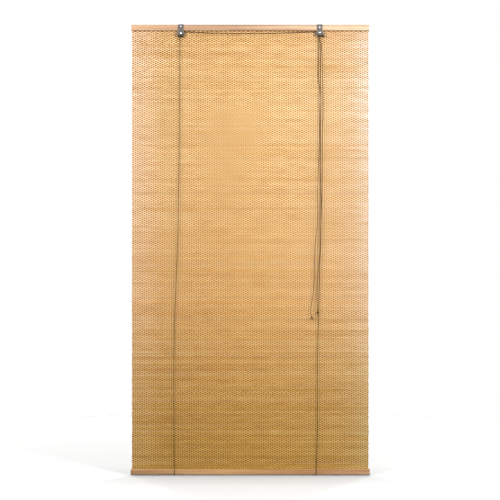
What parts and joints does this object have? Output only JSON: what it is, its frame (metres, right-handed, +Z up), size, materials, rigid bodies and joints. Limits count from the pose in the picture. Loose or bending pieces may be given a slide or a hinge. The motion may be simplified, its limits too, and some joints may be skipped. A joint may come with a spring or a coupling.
{
  "type": "bamboo roll up blind",
  "caption": "Roll-up blind of woven bamboo sticks between wooden head and foot battens, raised by cords over steel pulley brackets with a cord lock.",
  "frame": {"origin": "midway between the two hanging holes, on the top faces of the brackets", "axes": "+X along the battens to the right seen from the front, +Y towards the window, +Z up"},
  "size_m": [0.808, 0.0418, 1.5231],
  "materials": {
    "batten_wood": "planed, unlacquered",
    "bamboo_mat": "split bamboo sticks woven with cotton thread",
    "bracket_steel": "zinc plated",
    "rivet_steel": "bright zinc plated",
    "nail_steel": "bright wire",
    "wheel_plastic": "moulded",
    "cord": "twisted cotton cord"
  },
  "bodies": {
    "head": {"head_front_batten": "batten_wood", "head_back_batten": "batten_wood", "bamboo_mat": "bamboo_mat", "head_nails": "nail_steel", "left_staple": "nail_steel", "right_staple": "nail_steel", "left_bracket": "bracket_steel", "right_bracket": "bracket_steel", "left_axle_rivet": "rivet_steel", "right_axle_rivet": "rivet_steel", "lock_cam_pin": "rivet_steel", "left_bracket_screw": "rivet_steel", "right_bracket_screw": "rivet_steel", "left_lift_cord": "cord", "right_lift_cord": "cord", "left_draw_cord": "cord", "right_draw_cord": "cord", "left_pull_knot": "cord", "right_pull_knot": "cord", "left_fixed_end": "cord", "right_fixed_end": "cord"},
    "foot": {"foot_front_batten": "batten_wood", "foot_back_batten": "batten_wood", "foot_nails": "nail_steel"},
    "left_wheel": {"left_wheel": "wheel_plastic"},
    "right_front_wheel": {"right_front_wheel": "wheel_plastic"},
    "right_rear_wheel": {"right_rear_wheel": "wheel_plastic"},
    "lock_cam": {"lock_cam": "bracket_steel"}
  },
  "joints": [
    {"name": "raise", "type": "slide", "parent": "head", "child": "foot", "axis": [0, 0, 1], "range_m": [0, 1.38], "deforming": ["bamboo_mat", "left_lift_cord", "right_lift_cord"]},
    {"name": "left_wheel_spin", "type": "hinge", "parent": "head", "child": "left_wheel", "pos_m": [-0.234, -0.0264, -0.0284], "axis": [0, 1, 0], "continuous": true},
    {"name": "right_front_wheel_spin", "type": "hinge", "parent": "head", "child": "right_front_wheel", "pos_m": [0.234, -0.027, -0.0284], "axis": [0, 1, 0], "continuous": true},
    {"name": "right_rear_wheel_spin", "type": "hinge", "parent": "head", "child": "right_rear_wheel", "pos_m": [0.234, -0.0229, -0.0284], "axis": [0, 1, 0], "continuous": true},
    {"name": "cam_release", "type": "hinge", "parent": "head", "child": "lock_cam", "pos_m": [0.2446, -0.0249, -0.0335], "axis": [0, -1, 0], "range_deg": [0, 35]}
  ],
  "couplings": [
    {"joint": "left_wheel_spin", "follows": "raise", "rad_per_m": 434.78},
    {"joint": "right_front_wheel_spin", "follows": "raise", "rad_per_m": 434.78},
    {"joint": "right_rear_wheel_spin", "follows": "raise", "rad_per_m": 434.78}
  ]
}
